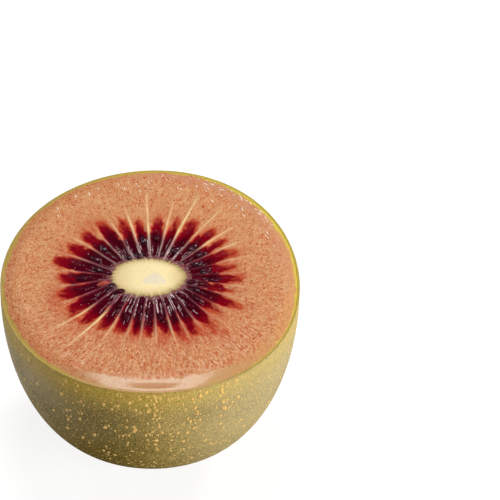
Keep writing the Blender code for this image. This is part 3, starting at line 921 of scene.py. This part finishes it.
def make_peel(angles):
    """The peel: from the scar's pit out and up to the cut, over the cut edge and down again inside.

    The inside is the outside moved in by the thickness and lifted clear of the pit near the axis.
    """
    rng = np.random.default_rng(5)
    turn = np.linspace(0.0, math.pi / 2.0, PEEL_RINGS)[:, None]
    radius, height = peel_profile(turn, angles)
    shape = np.broadcast_shapes(radius.shape, height.shape)
    free = smooth(turn, 0.1, 0.5) * smooth(math.pi / 2.0 - turn, 0.0, 0.03)
    radius = radius + free * MM * (0.012 * mottle(rng, shape, 14.0, 60.0) - 0.035)
    pit_radius = np.array([0.3, 0.8, 1.0])[:, None] * SCAR_FLOOR_RADIUS
    pit_edge = np.linspace(SCAR_FLOOR_RADIUS, SCAR_RADIUS, 4)[1:, None]
    pit_rise = SCAR_DEPTH * np.array([0.6, 0.2, 0.0])[:, None]
    flat = np.linspace(SCAR_RADIUS, FLAT_RADIUS * 0.98, 6)[1:, None]
    round_off = 0.05 * MM
    rim = rim_radius(angles)
    edge = np.array([0.0, 0.1, 0.3, 0.7, 1.0])[:, None] * (PEEL_THICKNESS - round_off) + round_off
    edge_radius = rim - edge
    lining_turn = np.linspace(math.pi / 2.0, 0.15, LINING_RINGS)[:, None]
    lining_radius, lining_height = peel_profile(lining_turn, angles)
    lift = 1.2 * MM * (1.0 - lining_height / RIM_HEIGHT) ** 2
    lining_level = np.minimum(lining_height + lift, RIM_HEIGHT - round_off)
    parts = [
        ring_points(angles, pit_radius, SCAR_DEPTH),
        ring_points(angles, pit_edge, pit_rise),
        ring_points(angles, flat, 0.0),
        ring_points(angles, radius, np.minimum(height, RIM_HEIGHT - round_off)),
        ring_points(angles, edge_radius, RIM_HEIGHT),
        ring_points(angles, lining_radius - PEEL_THICKNESS, lining_level),
    ]
    rings = np.concatenate(parts)
    cut = np.zeros(rings.shape[:2])
    before = sum(len(part) for part in parts[:4])
    cut[before:before + len(edge)] = smooth(edge, 0.07 * MM, 0.2 * MM)
    cut[before + len(edge):] = 1.0
    # Shares by side on the peel: the cut's front, a painted glow at the back and right, painted light on the
    # right, painted shade between the left and the front, and a painted sheen on the left
    by_angle = {"front": smooth(-np.sin(angles), 0.80, 0.97), "painted_glow": painted_glow_side(angles),
                "pale": smooth(facing(angles, PAINTED_LIGHT_TOWARDS), 0.3, 0.95),
                "shade": smooth(facing(angles, SHADE_TOWARDS), 0.52, 1.0),
                "painted_sheen": smooth(facing(angles, PAINTED_SHEEN_TOWARDS), 0.40, 1.0)}
    shares = {name: values * np.ones_like(cut) for name, values in by_angle.items()}
    return make_piece("peel", [rings], peel_finish(), {"cut": cut, **shares})


def make_flecks():
    """Corky flecks: low lenses with an uneven outline, laid on the peel and longer along the fruit's axis."""
    rng = np.random.default_rng(11)
    count, corners = FLECKS, FLECK_CORNERS
    # Two groups, each spread evenly by its own count: some near the rim at the front, the others all round
    near = rng.random(count) < FLECKS_NEAR_RIM
    number = np.where(near, np.cumsum(near), np.cumsum(~near))
    upward = (number * EVEN_STEPS[0] + 0.03 * rng.standard_normal(count)) % 1.0
    sideward = (number * EVEN_STEPS[1] + 0.03 * rng.standard_normal(count)) % 1.0
    turn = np.arccos(np.where(near, 0.012 + 0.72 * upward**1.9, 0.02 + 0.93 * upward))
    offset = 2.0 * sideward - 1.0
    angle = FRONT + np.where(near, 0.02 + 0.66 * np.abs(offset) ** 1.4 * np.sign(offset), math.pi * offset)
    size = MM * (0.05 + 0.29 * rng.random(count) ** np.where(near, 2.6, 6.0))
    nudge = 0.01
    radius, height = peel_profile(turn, angle)
    radius_up, height_up = peel_profile(turn + nudge, angle)
    centre = ring_points(angle, radius, height)
    sideways = np.stack([-np.sin(angle), np.cos(angle), np.zeros(count)], axis=-1)
    upwards = ring_points(angle, radius_up, height_up) - centre
    upwards /= np.linalg.norm(upwards, axis=-1, keepdims=True)
    outwards = np.cross(sideways, upwards)
    spin = round_angles(corners)
    uneven = size[:, None] * rng.uniform(0.65, 1.25, (count, corners))
    wide = sideways[:, None] * (uneven * np.cos(spin))[..., None]
    long = upwards[:, None] * (1.6 * uneven * np.sin(spin))[..., None]
    parts = []
    for share, rise in ((0.9, -0.15 * MM), (1.0, -0.05 * MM), (0.6, -0.022 * MM)):
        parts.append(centre[:, None] + share * (wide + long) + rise * outwards[:, None])
    return make_piece("flecks", list(np.stack(parts, axis=1)), fleck_finish())


def seed_surface():
    """A flattened ovoid along X: an ellipsoid whose cross-section narrows evenly towards one end."""
    x, y, z = ball(14, 22)
    slim = 1.0 - SEED_TAPER * (0.5 * x + 0.5)
    return 0.5 * np.stack([x * SEED_LENGTH, y * SEED_WIDTH * slim, z * SEED_THICKNESS * slim], axis=-1)


def make_seeds(rng, walls, reach):
    """Every seed is the same ovoid, turned and moved to its place in its pocket."""
    seed = seed_surface()
    places = seed_places(rng, walls, reach)
    parts = [seed @ turn.T + location for location, turn in places]
    gaps = [np.linalg.norm(location - np.array(UNRIPE_SEED)) for location, turn in places]
    unripe = np.zeros((len(parts) * seed.shape[0], seed.shape[1]))
    chosen = int(np.argmin(gaps)) * seed.shape[0]
    unripe[chosen:chosen + seed.shape[0]] = 1.0
    turns = np.array([math.atan2(location[1], location[0]) for location, turn in places])
    deep = np.maximum(smooth(-np.sin(turns), 0.2, 0.7), 0.6 * (np.arange(len(parts)) % 3 == 0))
    shares = {"unripe": unripe.reshape(len(parts), *seed.shape[:2]),
              "sunk": deep[:, None, None] * np.ones(seed.shape[:2])}
    return make_piece("seeds", parts, seed_finish(), shares)


def make_scar(angles):
    """The blossom's dry end: a rough button in the pit, its height a falling curve with ridges round it."""
    rng = np.random.default_rng(3)
    angles = angles[::8]
    share = np.linspace(1.0, 0.1, 14)[:, None]
    ridge = 1.0 + 0.18 * np.cos(9.0 * angles + 1.0) * (1.0 - share)
    height = SCAR_DEPTH * (0.25 + 0.30 * share**2) + 0.05 * MM * mottle(rng, (14, len(angles)), 1.0, 2.0)
    radius = 1.05 * MM * share * ridge
    low = ring_points(angles, radius, SCAR_DEPTH + 0.12 * MM)
    top = ring_points(angles, radius, height)
    rings = np.concatenate([top[::-1], low])
    return make_piece("blossom_scar", [rings], scar_finish())


def look_at(place, aim, up):
    """Turn and place of something that looks from place to aim with its top towards up."""
    back = (place - aim).normalized()
    right = up.cross(back).normalized()
    turn = Matrix((right, back.cross(right), back)).transposed().to_4x4()
    return Matrix.Translation(place) @ turn


def make_camera():
    """A long lens from the front and above, aimed to the right of the fruit."""
    elevation = math.radians(49.0)
    distance, width_seen = 0.444, 80.26 * MM
    centre = Vector((0.0, 0.0, RIM_HEIGHT))
    back = Vector((0.0, -math.cos(elevation), math.sin(elevation)))
    up = Vector((0.0, math.sin(elevation), math.cos(elevation)))
    aim = centre + Vector((15.83 * MM, 0.0, 0.0)) + up * 4.65 * MM
    data = bpy.data.cameras.new("camera")
    data.sensor_width = 36.0
    data.lens = data.sensor_width * distance / width_seen
    data.clip_start, data.clip_end = 0.01, 10.0
    camera = add_object("camera", data)
    camera.matrix_world = look_at(centre + back * distance, aim, up)
    bpy.context.scene.camera = camera


def softbox(name, azimuth, elevation, distance, size, power, colour=(1.0, 1.0, 1.0)):
    """A flat lamp aimed at the fruit. Azimuth 0 is at the front and 90 at the right."""
    a, e = math.radians(azimuth), math.radians(elevation)
    way = Vector((math.sin(a) * math.cos(e), -math.cos(a) * math.cos(e), math.sin(e)))
    aim = Vector((0.0, 0.0, 0.6 * RIM_HEIGHT))
    data = bpy.data.lights.new(name, "AREA")
    data.shape = "RECTANGLE"
    data.size, data.size_y = size
    data.energy = power
    data.color = colour
    lamp = add_object(name, data)
    lamp.matrix_world = look_at(aim + way * distance, aim, Vector((0.0, 0.3, 1.0)))


def make_studio():
    """A pale, glowing floor, a broad lamp overhead, small ones low at the back and one at each side."""
    world = bpy.data.worlds.new("studio")
    world.use_nodes = True
    background = world.node_tree.nodes["Background"]
    background.inputs["Color"].default_value = (0.95, 0.97, 1.0, 1.0)
    background.inputs["Strength"].default_value = 0.12
    bpy.context.scene.world = world
    bpy.context.scene.view_settings.view_transform = "Standard"

    finish = Finish("floor")
    finish.set(Base_Color=FLOOR_WHITE, Roughness=0.8,
               Emission_Color=(1.0, 1.0, 1.0), Emission_Strength=FLOOR_GLOW)
    half = 1.5
    mesh = bpy.data.meshes.new("floor")
    corners = [(-half, -half, 0.0), (half, -half, 0.0), (half, half, 0.0), (-half, half, 0.0)]
    mesh.from_pydata(corners, [], [(0, 1, 2, 3)])
    mesh.materials.append(finish.material)
    floor = add_object("floor", mesh)
    floor.location.z = -0.02 * MM

    softbox("overhead", 180.0, 76.0, 0.60, (0.17, 0.15), 1.62)
    softbox("back_right", 138.0, 27.0, 0.60, (0.10, 0.10), 1.2)
    softbox("back_left", -140.0, 30.0, 0.60, (0.08, 0.08), 0.25)
    softbox("right", 62.0, 14.0, 0.70, (0.45, 0.36), 6.7, (0.99, 1.0, 0.95))
    softbox("left", -105.0, 18.0, 0.70, (0.40, 0.30), 1.5, (1.0, 0.98, 0.97))


def main():
    rng = np.random.default_rng(LAYOUT_SEED)
    walls, reach = pocket_layout(rng)
    make_seeds(rng, walls, reach)
    make_flesh(walls, reach)
    make_threads(walls, reach)
    make_drops(walls, reach)
    angles = face_columns(walls, reach)[0]
    make_peel(angles)
    make_flecks()
    make_scar(angles)
    make_camera()
    make_studio()


main()
